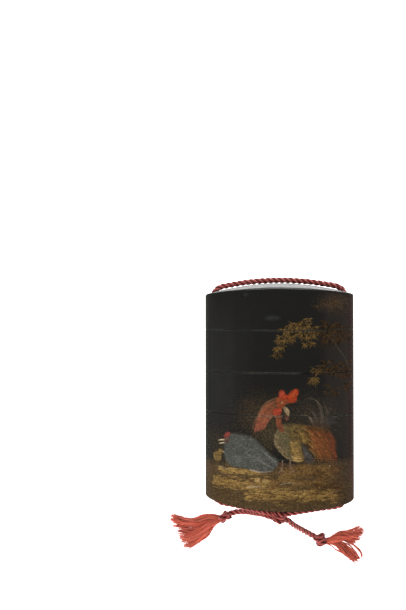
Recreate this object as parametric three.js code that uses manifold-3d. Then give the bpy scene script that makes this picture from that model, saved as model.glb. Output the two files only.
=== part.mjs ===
// A four-case inro: a flat oval Japanese box of stacked cases under a lid, strung on a silk cord.
//
// It lies on its back. +X is to the right of the picture on its front, +Y runs from the base to the
// lid, and +Z is up, out of the front. The origin is the middle of the case on the surface below it.
// Units are millimetres.

import * as THREE from 'three';
import { mergeVertices } from 'three/addons/utils/BufferGeometryUtils.js';
import Module from 'manifold-3d';

const wasm = await Module();
wasm.setup();

// The case: its cross section is a superellipse, and both of its ends are shallow domes.
const HALF_WIDTH = 28.5;
const HALF_DEPTH = 15;
const ROUNDNESS = 2.2; // exponent of the superellipse; 2 would be an ellipse
const HALF_LENGTH = 43.3; // from the middle to the crown of either end
const SIDE_DROP = 4.3; // the fall of an end from its crown to the narrow sides
const FACE_DROP = 2.2; // the fall of an end from its crown to the front and the back
const SHOULDER = 0.9; // radius of the rounded edge round each end
const SHOULDER_TURN = THREE.MathUtils.degToRad(73); // from upright wall to the slope of the end
const BACK_FLAT = 0.15; // taken off the back, so that the case lies still
const MIDDLE = HALF_DEPTH - BACK_FLAT; // height of the case's middle plane above the surface
const SIDES = 52;
const OUTER_DOME = [0.88, 0.68, 0.45, 0.2]; // rings of an end surface, as shares of its edge
const INNER_DOME = [0.7, 0.35];

// The joints between the cases.
const TOP_SEAM = 25.4;
const SEAM_PITCH = 15.75;
const SEAM_GAP = 0.1;
const RIM_BEVEL = 0.25;
const CASE_COUNT = 3; // plain cases between the lid and the base case

// The inside: every case ends in a thinner lip, which the piece above slides over.
const SIDE_WALL = 5.05; // beside the cord channels, down to the mouth of the piece above
const FACE_WALL = 1.3; // front and back, down to the mouth of the piece above
const LIP_CLEARANCE = 0.3;
const LIP_WALL = 1;
const LIP_HEIGHT = 3.5;
const MOUTH_DEPTH = 3.8;
const FLOOR = 1.3;
const END_WALL = 2.2;

// The cord and its channels.
const CORD_RADIUS = 1;
const CORD_SIDES = 8;
const CHANNEL_RADIUS = 1.36;
const CHANNEL_SIDES = 12;

// Half of the cord's loop, as x and y at mid depth: from the knot below the base, up through the
// channel, and over the lid to its crown. The other half is its mirror image.
const BASE_STRAND = [[3.5, -45.7], [6.6, -45], [10, -44.3], [14, -43.5], [18, -42.8]];
const BEND = [[22.18, 42.1], [23.75, 41.35], [24.9, 39.95], [25.3, 38.2]];
const STRAIGHT = [[25.3, -19], [25.3, 0], [25.3, 19]];
const LID_STRAND = [[18, 42.9], [13.5, 43.62], [9, 44.1], [4.5, 44.4]];
const CROWN = [0, 44.5];

// The two free ends of the cord, from the knot below the base down to the surface.
const LEFT_TAIL = [
  [-2.9, -47.4, 14], [-5.2, -47.2, 12.4], [-7.4, -47.4, 10], [-9.3, -48, 7.2],
  [-11.4, -48.5, 4.4], [-14.2, -48.9, 2.3], [-17.2, -49.35, 1.4], [-19.6, -49.95, 1.6],
];
const RIGHT_TAIL = [
  [3.5, -48.8, 13.5], [5.3, -50.8, 11.4], [7, -52.6, 8.6], [8.75, -54.35, 5.7],
  [10.5, -55.9, 3.5], [11.8, -56.85, 2.4], [13.1, -57.6, 2],
];

// Knots: where they are, which way their long axis turns, and the turns of cord in them.
const KNOT_CORE = 1.5;
const KNOT_TURN_RADIUS = 1.35;
const BASE_KNOT = { place: [0.4, -46.85, MIDDLE], heading: 90, turns: [-1.05, 1.05], tilt: 12 };
const LEFT_KNOT = { place: [-22.4, -51.3, 2.5], heading: -48, turns: [-0.6, 0.6], tilt: 24 };
const RIGHT_KNOT = { place: [16.3, -58.9, 2.5], heading: -58, turns: [-1.1, 1.1], tilt: 16 };

// Tassels: the clumps of loose silk that spread from each end knot, as root, tip, and half widths.
const LEFT_CLUMPS = [
  { root: [-25.4, -51.6], tip: [-43.6, -53.8], spread: [1.5, 1.9] },
  { root: [-25.4, -52], tip: [-41.8, -58.3], spread: [1.6, 2] },
  { root: [-25.4, -52.3], tip: [-39.3, -63], spread: [1.5, 1.7] },
];
const RIGHT_CLUMPS = [
  { root: [19.7, -59.9], tip: [32.4, -56.8], spread: [1.3, 2.8] },
  { root: [19.6, -60.9], tip: [31.4, -65.7], spread: [1.4, 2.1] },
];
const CLUMP_ROOT = { height: 2.1, half: 1.7 };
const CLUMP_TIP = { height: 1.1, half: 0.85 };
const CLUMP_RINGS = 5;
const CLUMP_SIDES = 10;

const LACQUER = { color: 0x14110f, roughness: 0.18, metalness: 0 };
const SILK = { color: 0x9c2a24, roughness: 0.75, metalness: 0 };

// Closes a body from rings of points, each of them anticlockwise seen from the last one. The first
// and the last ring are single points.
function loft(rings) {
  const faces = [];
  let below = 0;
  for (let i = 1; i < rings.length; i += 1) {
    const lower = rings[i - 1].length;
    const upper = rings[i].length;
    const above = below + lower;
    const count = Math.max(lower, upper);
    for (let j = 0; j < count; j += 1) {
      const next = (j + 1) % count;
      if (lower > 1) faces.push(below + j, below + next, above + (next % upper));
      if (upper > 1) faces.push(below + (j % lower), above + next, above + j);
    }
    below = above;
  }
  const geometry = new THREE.BufferGeometry().setFromPoints(rings.flat());
  geometry.setIndex(faces);
  return geometry;
}

function toSolid(geometry) {
  const bare = new THREE.BufferGeometry();
  bare.setAttribute('position', geometry.getAttribute('position'));
  bare.setIndex(geometry.getIndex());
  const merged = mergeVertices(bare);
  return new wasm.Manifold(new wasm.Mesh({
    numProp: 3,
    vertProperties: new Float32Array(merged.getAttribute('position').array),
    triVerts: new Uint32Array(merged.getIndex().array),
  }));
}

function toGeometry(solid) {
  const { vertProperties, triVerts } = solid.getMesh();
  const geometry = new THREE.BufferGeometry();
  geometry.setAttribute('position', new THREE.BufferAttribute(vertProperties, 3));
  geometry.setIndex(new THREE.BufferAttribute(triVerts, 1));
  geometry.computeVertexNormals();
  return geometry;
}

// The cross section, drawn in by a margin at the sides and one at the faces. height(x, z) gives y.
function outline(sideMargin, faceMargin, height) {
  const bend = (value) => Math.sign(value) * Math.abs(value) ** (2 / ROUNDNESS);
  return Array.from({ length: SIDES }, (_, i) => {
    const angle = 2 * Math.PI * i / SIDES;
    const x = (HALF_WIDTH - sideMargin) * bend(Math.sin(angle));
    const z = (HALF_DEPTH - faceMargin) * bend(Math.cos(angle));
    return new THREE.Vector3(x, height(x, z), z);
  });
}

function shrink(ring, share, height) {
  return ring.map(({ x, z }) => new THREE.Vector3(x * share, height(x * share, z * share), z * share));
}

// The domed end of the case, as the height of its surface at a place of the cross section.
function endHeight(x, z) {
  return HALF_LENGTH - SIDE_DROP * (x / HALF_WIDTH) ** 2 - FACE_DROP * (z / HALF_DEPTH) ** 2;
}

function centre(y) {
  return [new THREE.Vector3(0, y, 0)];
}

// A straight block of the cross section, with its outer edges beveled.
function block(from, to, sideMargin = 0, faceMargin = 0, bevel = 0) {
  const ring = (y, inset) => outline(sideMargin + inset, faceMargin + inset, () => y);
  const ends = bevel > 0 ? [ring(from + bevel, 0), ring(to - bevel, 0)] : [];
  return loft([centre(from), ring(from, bevel), ...ends, ring(to, bevel), centre(to)]);
}

// A block whose upper end is the dome, round at its shoulder, and whose foot is flat.
function domedBlock(foot) {
  const shoulderInset = SHOULDER * (1 - Math.cos(SHOULDER_TURN));
  const edge = outline(shoulderInset, shoulderInset, endHeight);
  const turn = [0, 0.35, 0.7, 1].map((share) => {
    const angle = SHOULDER_TURN * share;
    const inset = SHOULDER * (1 - Math.cos(angle));
    const fall = SHOULDER * (Math.sin(SHOULDER_TURN) - Math.sin(angle));
    return outline(inset, inset, () => 0).map((point, i) => point.setY(edge[i].y - fall));
  });
  return loft([
    centre(foot),
    outline(RIM_BEVEL, RIM_BEVEL, () => foot),
    outline(0, 0, () => foot + RIM_BEVEL),
    ...turn,
    ...OUTER_DOME.map((share) => shrink(edge, share, endHeight)),
    centre(HALF_LENGTH),
  ]);
}

// A hollow under the dome, the thickness of the end wall below it.
function domedHollow(foot, sideMargin, faceMargin) {
  const ceiling = (x, z) => endHeight(x, z) - END_WALL;
  const edge = outline(sideMargin, faceMargin, ceiling);
  return loft([
    centre(foot),
    outline(sideMargin, faceMargin, () => foot),
    edge,
    ...INNER_DOME.map((share) => shrink(edge, share, ceiling)),
    centre(HALF_LENGTH - END_WALL),
  ]);
}

// A path that is swept in one step from each of its points to the next.
class Route extends THREE.CatmullRomCurve3 {
  getPointAt(share, target) {
    return this.getPoint(share, target);
  }

  getTangentAt(share, target) {
    return this.getTangent(share, target);
  }
}

function tube(points, radius, sides) {
  const section = Array.from({ length: sides }, (_, i) => {
    const angle = 2 * Math.PI * (i + 0.5) / sides;
    return new THREE.Vector2(radius * Math.cos(angle), radius * Math.sin(angle));
  });
  return new THREE.ExtrudeGeometry(new THREE.Shape(section), {
    steps: points.length - 1,
    extrudePath: new Route(points.map((point) => new THREE.Vector3(...point)), false, 'centripetal'),
    bevelEnabled: false,
  });
}

const flipY = ([x, y]) => [x, -y];
const atMidDepth = ([x, y]) => [x, y, 0];

// Both bends with the straight run between them: the way through one narrow side of the case.
function channelPoints() {
  return [...BEND.map(flipY), ...STRAIGHT, ...BEND.toReversed()];
}

function loopPoints() {
  const half = [...BASE_STRAND, ...channelPoints(), ...LID_STRAND];
  return [...half, CROWN, ...half.map(([x, y]) => [-x, y]).toReversed()];
}

function channels() {
  const bore = toSolid(tube(channelPoints().map(atMidDepth), CHANNEL_RADIUS, CHANNEL_SIDES));
  return bore.add(bore.mirror([1, 0, 0]));
}

function backTrim() {
  const box = new THREE.BoxGeometry(4 * HALF_WIDTH, 4 * HALF_LENGTH, HALF_DEPTH);
  box.translate(0, 0, -MIDDLE - HALF_DEPTH / 2);
  return toSolid(box);
}

const mouthMargins = [SIDE_WALL, FACE_WALL];
const lipMargins = mouthMargins.map((margin) => margin + LIP_CLEARANCE);
const insideMargins = lipMargins.map((margin) => margin + LIP_WALL);

function mouth(foot) {
  return toSolid(block(foot - 1, foot + MOUTH_DEPTH, ...mouthMargins));
}

function lip(rim) {
  return toSolid(block(rim - 1, rim + LIP_HEIGHT, ...lipMargins));
}

function lidSolid() {
  const foot = TOP_SEAM + SEAM_GAP / 2;
  return toSolid(domedBlock(foot)).subtract(toSolid(domedHollow(foot - 1, ...mouthMargins)));
}

function caseSolid(rim) {
  const foot = rim - SEAM_PITCH + SEAM_GAP;
  const inside = block(foot + MOUTH_DEPTH + FLOOR, rim + LIP_HEIGHT + 1, ...insideMargins);
  return toSolid(block(foot, rim, 0, 0, RIM_BEVEL))
    .add(lip(rim))
    .subtract(toSolid(inside))
    .subtract(mouth(foot));
}

// The base case is worked out with its dome up, and turned over at the end.
function baseCaseSolid(rim) {
  const inside = toSolid(domedHollow(-rim - LIP_HEIGHT - 1, ...insideMargins));
  return toSolid(domedBlock(-rim))
    .add(lip(rim).mirror([0, 1, 0]))
    .subtract(inside)
    .mirror([0, 1, 0]);
}

// A knot is turns of cord, side by side on its long axis and leaning in turn, round a core.
function knot({ place, heading, turns, tilt }) {
  const lean = THREE.MathUtils.degToRad(tilt);
  const core = new THREE.SphereGeometry(KNOT_CORE, 8, 6);
  let solid = toSolid(core);
  turns.forEach((shift, i) => {
    const ring = new THREE.TorusGeometry(KNOT_TURN_RADIUS, CORD_RADIUS, 6, 12);
    ring.rotateY(Math.PI / 2);
    ring.rotateZ(i % 2 === 0 ? lean : -lean);
    ring.translate(shift, 0, 0);
    solid = solid.add(toSolid(ring));
  });
  const mesh = silkMesh(toGeometry(solid));
  mesh.rotation.z = THREE.MathUtils.degToRad(heading);
  mesh.position.set(...place);
  return mesh;
}

function clump({ root, tip, spread }) {
  const start = new THREE.Vector2(...root);
  const run = new THREE.Vector2(...tip).sub(start);
  const across = new THREE.Vector2(-run.y, run.x).normalize();
  const { lerp } = THREE.MathUtils;
  const place = (share, side, rise) => {
    const at = start.clone().addScaledVector(run, share).addScaledVector(across, side);
    const middle = lerp(CLUMP_ROOT.height, CLUMP_TIP.height, share);
    return new THREE.Vector3(at.x, at.y, middle + rise);
  };
  const rings = Array.from({ length: CLUMP_RINGS }, (_, i) => {
    const share = i / (CLUMP_RINGS - 1);
    return Array.from({ length: CLUMP_SIDES }, (__, j) => {
      const angle = 2 * Math.PI * j / CLUMP_SIDES;
      const side = lerp(...spread, share) * Math.cos(angle);
      const rise = lerp(CLUMP_ROOT.half, CLUMP_TIP.half, share) * Math.sin(angle);
      return place(share, side, rise);
    });
  });
  return toSolid(loft([[place(0, 0, 0)], ...rings, [place(1, 0, 0)]]));
}

function tassel(clumps) {
  const solids = clumps.map(clump);
  return silkMesh(toGeometry(solids.reduce((sum, solid) => sum.add(solid))));
}

function silkMesh(geometry) {
  return new THREE.Mesh(geometry, new THREE.MeshStandardMaterial(SILK));
}

function lacquerMesh(solid) {
  return new THREE.Mesh(toGeometry(solid), new THREE.MeshStandardMaterial(LACQUER));
}

function addTo(group, name, mesh) {
  mesh.name = name;
  group.add(mesh);
}

const inro = new THREE.Group();

// The case stands clear of the surface by its middle plane, and the cord's loop is in that plane.
const body = new THREE.Group();
body.position.z = MIDDLE;
inro.add(body);

const holes = channels().add(backTrim());
const finish = (solid) => lacquerMesh(solid.subtract(holes));
const rimOf = (index) => TOP_SEAM - index * SEAM_PITCH - SEAM_GAP / 2;
addTo(body, 'lid', finish(lidSolid()));
for (let i = 0; i < CASE_COUNT; i += 1) {
  addTo(body, `case_${i + 1}`, finish(caseSolid(rimOf(i))));
}
addTo(body, 'base_case', finish(baseCaseSolid(rimOf(CASE_COUNT))));
addTo(body, 'cord_loop', silkMesh(tube(loopPoints().map(atMidDepth), CORD_RADIUS, CORD_SIDES)));

addTo(inro, 'base_knot', knot(BASE_KNOT));
addTo(inro, 'tail_left', silkMesh(tube(LEFT_TAIL, CORD_RADIUS, CORD_SIDES)));
addTo(inro, 'end_knot_left', knot(LEFT_KNOT));
addTo(inro, 'tassel_left', tassel(LEFT_CLUMPS));
addTo(inro, 'tail_right', silkMesh(tube(RIGHT_TAIL, CORD_RADIUS, CORD_SIDES)));
addTo(inro, 'end_knot_right', knot(RIGHT_KNOT));
addTo(inro, 'tassel_right', tassel(RIGHT_CLUMPS));

export default inro;
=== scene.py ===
"""A four-case inro lying on its back: black lacquer with a picture in gold and colours, on a
twisted red silk cord.

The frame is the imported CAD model. Lengths below are millimetres, and MM turns them into metres.
+X is to the right of the picture, +Y from the base to the lid, +Z up, out of the front.
"""
import math

import bpy
import numpy as np
from mathutils import Matrix, Vector


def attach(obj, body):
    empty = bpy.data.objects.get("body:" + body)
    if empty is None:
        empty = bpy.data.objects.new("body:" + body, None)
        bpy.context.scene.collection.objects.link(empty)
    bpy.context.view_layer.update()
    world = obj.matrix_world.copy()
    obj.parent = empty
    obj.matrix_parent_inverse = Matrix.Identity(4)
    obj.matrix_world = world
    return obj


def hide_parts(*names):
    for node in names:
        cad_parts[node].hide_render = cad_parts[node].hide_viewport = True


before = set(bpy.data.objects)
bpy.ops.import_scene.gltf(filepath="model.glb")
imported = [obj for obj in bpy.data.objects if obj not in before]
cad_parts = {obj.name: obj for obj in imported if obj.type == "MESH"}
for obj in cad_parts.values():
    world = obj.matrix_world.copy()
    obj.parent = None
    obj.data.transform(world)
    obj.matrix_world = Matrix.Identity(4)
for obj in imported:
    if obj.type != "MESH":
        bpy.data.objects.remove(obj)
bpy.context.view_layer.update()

MM = 0.001
ROOT = "root"
rng = np.random.default_rng(7)

# The case's form, as the CAD model has it. Margins are taken off the sides and off the faces.
HALF_WIDTH = 28.5
HALF_DEPTH = 15.0
ROUNDNESS = 2.2
HALF_LENGTH = 43.3
SIDE_DROP = 4.3
FACE_DROP = 2.2
SHOULDER = 0.9
SHOULDER_TURN = math.radians(73)
BACK_FLAT = 0.15
MIDDLE = HALF_DEPTH - BACK_FLAT
TOP_SEAM = 25.4
SEAM_PITCH = 15.75
SEAM_GAP = 0.1
RIM_ROUND = 0.08
CASE_COUNT = 3
MOUTH_MARGINS = (5.05, 1.3)
LIP_MARGINS = (5.35, 1.6)
INSIDE_MARGINS = (6.35, 2.6)
LIP_HEIGHT = 3.5
MOUTH_DEPTH = 3.8
FLOOR = 1.3
END_WALL = 2.2
CHANNEL_RADIUS = 1.36

# How fine the case's surface is: the front carries the picture, the rest is plainer.
FRONT_REACH = 33.0
FRONT_STEP = 0.18
BACK_STEP = 0.3
ROW_STEP = 0.18

# The camera's place, the ways that it looks and holds its top, and its lens.
CAMERA_PLACE = (5.32, 31.93, 296.7)
CAMERA_AIM = (-0.1227, 0.0106, -0.9924)
CAMERA_UP = (0.0022, 0.9999, 0.0105)
CAMERA_LENS = 42.65

# The floor, in metres: how far it reaches, where its glow starts to fade and ends, and the left,
# right, near and far edges of the sheet beyond the lid.
FLOOR_REACH = 3.0
GLOW_NEAR = 0.17
GLOW_FAR = 0.36
SHEET = (-0.029, 0.029, 0.042, 0.3)

# What the lacquer's sheen adds to the light from paint, what the studio multiplies it by, and how
# many grains of powder lie along a metre.
SHEEN = 0.013
BRIGHTNESS = 1.09
GRAINS = 11000

# The cord.
CORD_DIAMETER = 2.3
STRANDS = 3
STRAND_PITCH = 6.6
STRAND_SIDES = 10
CORD_STEP = 0.35

# The cord's route, as the CAD model has it: x and y at mid depth, then the two free ends.
BASE_STRAND = [[3.5, -45.7], [6.6, -45], [10, -44.3], [14, -43.5], [18, -42.8]]
BEND = [[22.18, 42.1], [23.75, 41.35], [24.9, 39.95], [25.3, 38.2]]
STRAIGHT = [[25.3, -19], [25.3, 0], [25.3, 19]]
LID_STRAND = [[18, 42.9], [13.5, 43.62], [9, 44.1], [4.5, 44.4]]
CROWN = [0, 44.5]
LEFT_TAIL = [
    [-2.9, -47.4, 14], [-5.2, -47.2, 12.4], [-7.4, -47.4, 10], [-9.3, -48, 7.2],
    [-11.4, -48.5, 4.4], [-14.2, -48.9, 2.3], [-17.2, -49.35, 1.4], [-19.6, -49.95, 1.6],
]
RIGHT_TAIL = [
    [3.5, -48.8, 13.5], [5.3, -50.8, 11.4], [7, -52.6, 8.6], [8.75, -54.35, 5.7],
    [10.5, -55.9, 3.5], [11.8, -56.85, 2.4], [13.1, -57.6, 2],
]
BASE_KNOT = dict(place=(0.1, -46.95, MIDDLE), heading=76, shift=1.7, tilt=20, turns=2.5)
LEFT_KNOT = dict(place=(-22.4, -51.3, 2.5), heading=-48, shift=0.8, tilt=24, turns=2)
RIGHT_KNOT = dict(place=(16.3, -58.9, 2.5), heading=-58, shift=1.6, tilt=18, turns=2.5)
KNOT_TURN_RADIUS = 1.45

# The tassels' locks of silk, from the knot outwards: how far each one's threads spread at the
# widest, how many there are, and the points that it follows. Threads hang together in tufts.
LEFT_LOCKS = [
    (1.6, 170, (-22.9, -51.6, 2.5), (-28.6, -51.6, 2.7), (-33.4, -53.4, 2), (-39, -53.9, 1.2),
     (-44.9, -52.4, 0.8)),
    (1.4, 120, (-22.9, -51.7, 2.5), (-28.4, -52.6, 2.6), (-33, -54.9, 2), (-38.5, -55.8, 1.4),
     (-44, -55.3, 0.9)),
    (1.2, 90, (-22.9, -51.8, 2.5), (-28.2, -53.6, 2.2), (-32.4, -56.4, 1.8), (-37, -58.1, 1.3),
     (-42.3, -57.9, 0.8)),
    (1.6, 130, (-22.9, -51.8, 2.5), (-28, -54.1, 2.5), (-31.6, -57.6, 2.2), (-36, -60.3, 1.6),
     (-41.4, -60.6, 0.9)),
    (2.1, 250, (-22.9, -51.9, 2.5), (-27.8, -54.2, 3), (-31.2, -58, 2.8), (-35, -61.2, 2),
     (-39.3, -64, 1.1)),
]
RIGHT_LOCKS = [
    (1.6, 150, (17.2, -59.6, 2.5), (20.4, -58.8, 2.9), (23.6, -56.9, 2.9), (28, -56.4, 2),
     (33.4, -54.6, 1)),
    (1.7, 150, (17.2, -59.7, 2.5), (20.6, -59.1, 2.7), (24, -57.4, 2.6), (28.4, -57.2, 1.8),
     (32.4, -57.8, 0.9)),
    (1.2, 80, (17.2, -59.8, 2.5), (21, -59.3, 2.4), (24.6, -58.1, 2.2), (27.8, -58.7, 1.5),
     (29.9, -61.2, 0.8)),
    (1.5, 190, (17.2, -59.9, 2.5), (21.4, -60.4, 2.6), (24.6, -62.4, 2.6), (28, -65.1, 2),
     (31.3, -67.1, 1.2)),
    (1.3, 120, (17.2, -59.9, 2.5), (21.6, -60.1, 2.4), (25.4, -61.3, 2.2), (28.8, -63.7, 1.8),
     (31.6, -66.3, 1.1)),
    (0.4, 40, (19.5, -59.6, 2.2), (25.3, -58.8, 1.8), (29, -61, 1.4), (31.4, -63, 1.1),
     (32.5, -64.9, 0.9), (31.9, -66.4, 0.7)),
]
TUFT_THREADS = 9
THREAD_POINTS = 14
THREAD_SIDES = 4


# --- Shared helpers ---

class Nodes:
    """Short names for making and linking shader nodes."""

    def __init__(self, material):
        material.use_nodes = True
        self.tree = material.node_tree
        self.shader = self.tree.nodes["Principled BSDF"]

    def fill(self, socket, value):
        """Gives a socket another socket's output, a number or a colour."""
        if isinstance(value, bpy.types.NodeSocket):
            self.tree.links.new(value, socket)
        else:
            socket.default_value = value

    def set(self, **values):
        """Fills the shader's sockets. A name's underscores stand for spaces."""
        for name, value in values.items():
            self.fill(self.shader.inputs[name.replace("_", " ")], value)

    def add(self, kind, inputs=(), **settings):
        node = self.tree.nodes.new("ShaderNode" + kind)
        for name, value in settings.items():
            setattr(node, name, value)
        for name, value in dict(inputs).items():
            self.fill(node.inputs[name], value)
        return node

    def attribute(self, name, output="Fac"):
        return self.add("Attribute", attribute_name=name).outputs[output]

    def math(self, operation, first, second, clamp=False):
        return self.add("Math", {0: first, 1: second}, operation=operation, use_clamp=clamp).outputs[0]

    def noise(self, scale, detail, place, roughness=0.5):
        inputs = {"Scale": scale, "Detail": detail, "Roughness": roughness, "Vector": place}
        return self.add("TexNoise", inputs).outputs["Fac"]

    def mix(self, factor, first, second, kind="RGBA"):
        a, b, out = (6, 7, 2) if kind == "RGBA" else (2, 3, 0)
        return self.add("Mix", {0: factor, a: first, b: second}, data_type=kind).outputs[out]

    def span(self, value, low, high, out_low, out_high):
        inputs = {"Value": value, "From Min": low, "From Max": high, "To Min": out_low, "To Max": out_high}
        return self.add("MapRange", inputs).outputs["Result"]

    def bump(self, height, strength, distance):
        inputs = {"Height": height, "Strength": strength, "Distance": distance}
        self.set(Normal=self.add("Bump", inputs).outputs["Normal"])


def add_object(name, vertices, faces):
    """A mesh object, its vertices given in metres."""
    item = bpy.data.objects.new(name, bpy.data.meshes.new(name))
    item.data.from_pydata(vertices, [], faces)
    bpy.context.scene.collection.objects.link(item)
    return item


def smooth(mesh, sharp_angle):
    mesh.shade_smooth()
    mesh.set_sharp_from_angle(angle=math.radians(sharp_angle))


def make_piece(name, vertices, faces, material, sharp_angle=40):
    """A mesh object, its vertices given in millimetres."""
    piece = add_object(name, (vertices * MM).tolist(), faces)
    piece.data.update()
    smooth(piece.data, sharp_angle)
    piece.data.materials.append(material)
    return piece


def set_attribute(piece, name, values):
    """Stores one number or one vector for each vertex."""
    values = np.asarray(values, np.float32)
    kind = "FLOAT" if values.ndim == 1 else "FLOAT_VECTOR"
    attribute = piece.data.attributes.new(name, kind, "POINT")
    attribute.data.foreach_set("value" if kind == "FLOAT" else "vector", values.ravel())


def toward(start, end, share):
    return np.asarray(start, float) + (np.asarray(end, float) - np.asarray(start, float)) * share


def ramp(value, low, high):
    return np.clip((value - low) / (high - low), 0, 1)


def run_along(points, power=1):
    """How far along the line each point is. power is put on the length of every stretch."""
    return np.concatenate([[0], np.cumsum(np.linalg.norm(np.diff(points, axis=0), axis=1) ** power)])


def between(first, second, place, low, high):
    return ((high - place) * first + (place - low) * second) / (high - low)


def smooth_curve(points, step):
    """Points a step apart along the centripetal Catmull-Rom curve through the given ones."""
    points = np.asarray(points, float)
    points = np.vstack([2 * points[0] - points[1], points, 2 * points[-1] - points[-2]])
    knots = run_along(points, 0.5)
    found = []
    for i in range(len(points) - 3):
        p, k = points[i:i + 4], knots[i:i + 4]
        count = max(2, math.ceil(np.linalg.norm(p[2] - p[1]) / (step / 4)))
        t = np.linspace(k[1], k[2], count, endpoint=False)[:, None]
        near = [between(p[j], p[j + 1], t, k[j], k[j + 1]) for j in range(3)]
        far = [between(near[j], near[j + 1], t, k[j], k[j + 2]) for j in range(2)]
        found.append(between(*far, t, k[1], k[2]))
    dense = np.vstack(found + [points[-2:-1]])
    run = run_along(dense)
    even = np.linspace(0, run[-1], max(2, round(run[-1] / step) + 1))
    return np.stack([np.interp(even, run, column) for column in dense.T], 1)


def frames_along(points):
    """For each point, two directions across the curve that don't twist along it."""
    ahead = np.gradient(points, axis=0)
    ahead /= np.linalg.norm(ahead, axis=1)[:, None]
    first = np.cross(ahead[0], (0, 0, 1.0))
    if np.linalg.norm(first) < 0.1:
        first = np.cross(ahead[0], (1.0, 0, 0))
    sides = [first / np.linalg.norm(first)]
    for direction in ahead[1:]:
        side = sides[-1] - np.dot(sides[-1], direction) * direction
        sides.append(side / np.linalg.norm(side))
    side = np.array(sides)
    return side, np.cross(ahead, side)


def tube_arrays(points, radius, sides):
    """Vertices, faces and the (cos, sin, run) of each vertex for a closed tube. radius is one number
    or one for each point."""
    across, over = frames_along(points)
    angle = 2 * np.pi * np.arange(sides) / sides
    radius = np.broadcast_to(radius, len(points))[:, None, None]
    ring = np.cos(angle)[None, :, None] * across[:, None] + np.sin(angle)[None, :, None] * over[:, None]
    vertices = (points[:, None] + radius * ring).reshape(-1, 3)
    around = np.tile(np.stack([np.cos(angle), np.sin(angle)], 1), (len(points), 1))
    marks = np.column_stack([around, np.repeat(run_along(points), sides)])
    j = np.arange(sides)
    k = (j + 1) % sides
    start = (np.arange(len(points) - 1) * sides)[:, None]
    quads = np.stack([start + j, start + k, start + sides + k, start + sides + j], -1).reshape(-1, 4)
    caps = [list(range(sides - 1, -1, -1)), list(range(len(vertices) - sides, len(vertices)))]
    return vertices, quads.tolist() + caps, marks


def join_tubes(tubes):
    """One set of vertices, faces and marks from several tubes."""
    faces = []
    offset = 0
    for vertices, tube_faces, _ in tubes:
        faces += [[i + offset for i in face] for face in tube_faces]
        offset += len(vertices)
    return np.vstack([tube[0] for tube in tubes]), faces, np.vstack([tube[2] for tube in tubes])


# --- Camera, floor and lights ---

def add_camera():
    """Looks down on the front, from above the lid's end, as the photograph does."""
    aim = Vector(CAMERA_AIM).normalized()
    side = aim.cross(Vector(CAMERA_UP)).normalized()
    camera = bpy.data.cameras.new("camera")
    camera.lens = CAMERA_LENS
    camera.sensor_width = 36
    camera.clip_start = 0.01
    holder = bpy.data.objects.new("camera", camera)
    turn = Matrix((side, side.cross(aim), -aim)).transposed().to_4x4()
    holder.matrix_world = Matrix.Translation(Vector(CAMERA_PLACE) * MM) @ turn
    bpy.context.scene.collection.objects.link(holder)
    bpy.context.scene.camera = holder


def add_softbox(name, place, aim, size, power, colour=(1, 1, 1), mirrored=True):
    """A rectangular lamp. One that isn't mirrored lights the object but shows in no reflection."""
    lamp = bpy.data.lights.new(name, "AREA")
    lamp.shape = "RECTANGLE"
    lamp.size, lamp.size_y = size
    lamp.energy = power
    lamp.color = colour
    holder = bpy.data.objects.new(name, lamp)
    holder.location = Vector(place)
    holder.rotation_euler = (Vector(aim) - Vector(place)).to_track_quat("-Z", "Y").to_euler()
    holder.visible_glossy = mirrored
    bpy.context.scene.collection.objects.link(holder)


def add_world(strength):
    world = bpy.data.worlds.new("studio")
    world.use_nodes = True
    world.node_tree.nodes["Background"].inputs["Color"].default_value = (1, 1, 0.93, 1)
    world.node_tree.nodes["Background"].inputs["Strength"].default_value = strength
    bpy.context.scene.world = world


def add_paper(name, tiles, mirrored, glow):
    """White paper on the floor, made of rectangles (left, right, near, far). It glows softly round
    the object, so that no shadow shows on it."""
    corners = []
    for left, right, near, far in tiles:
        corners += [(left, near, 0), (right, near, 0), (right, far, 0), (left, far, 0)]
    paper = add_object(name, corners, [tuple(range(i, i + 4)) for i in range(0, len(corners), 4)])
    paper.visible_glossy = mirrored
    material = bpy.data.materials.new(name)
    nodes = Nodes(material)
    away = nodes.add("VectorMath", {0: nodes.add("TexCoord").outputs["Object"]}, operation="LENGTH")
    fade = nodes.span(away.outputs["Value"], GLOW_NEAR, GLOW_FAR, glow, 0.15)
    nodes.set(Base_Color=(0.9, 0.9, 0.9, 1), Roughness=0.9)
    nodes.set(Emission_Color=(1, 1, 1, 1), Emission_Strength=fade)
    paper.data.materials.append(material)


def add_floor():
    """The lacquer mirrors the sheet beyond the lid. The rest of the floor shows in no reflection, as
    if dark cards stood round the case."""
    left, right, near, far = SHEET
    edge = FLOOR_REACH
    around = [
        (-edge, edge, -edge, near), (-edge, edge, far, edge),
        (-edge, left, near, far), (right, edge, near, far),
    ]
    add_paper("floor", around, mirrored=False, glow=1.3)
    add_paper("sheet", [SHEET], mirrored=True, glow=2.7)


# --- The form of the case ---

def outline(angle, side_margin=0.0, face_margin=0.0):
    """x and z on the cross section, drawn in by the margins. angle 0 is the middle of the front."""
    def bend(value):
        return np.sign(value) * np.abs(value) ** (2 / ROUNDNESS)

    x = (HALF_WIDTH - side_margin) * bend(np.sin(angle))
    z = (HALF_DEPTH - face_margin) * bend(np.cos(angle))
    return x, z


def end_height(x, z):
    return HALF_LENGTH - SIDE_DROP * (x / HALF_WIDTH) ** 2 - FACE_DROP * (z / HALF_DEPTH) ** 2


# The way round the case at many angles, and half of the whole way.
DENSE_ANGLE = np.linspace(-np.pi, np.pi, 20001)
DENSE_ROUND = run_along(np.stack(outline(DENSE_ANGLE), 1))
DENSE_ROUND -= np.interp(0, DENSE_ANGLE, DENSE_ROUND)
HALF_GIRTH = DENSE_ROUND[-1]


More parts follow.
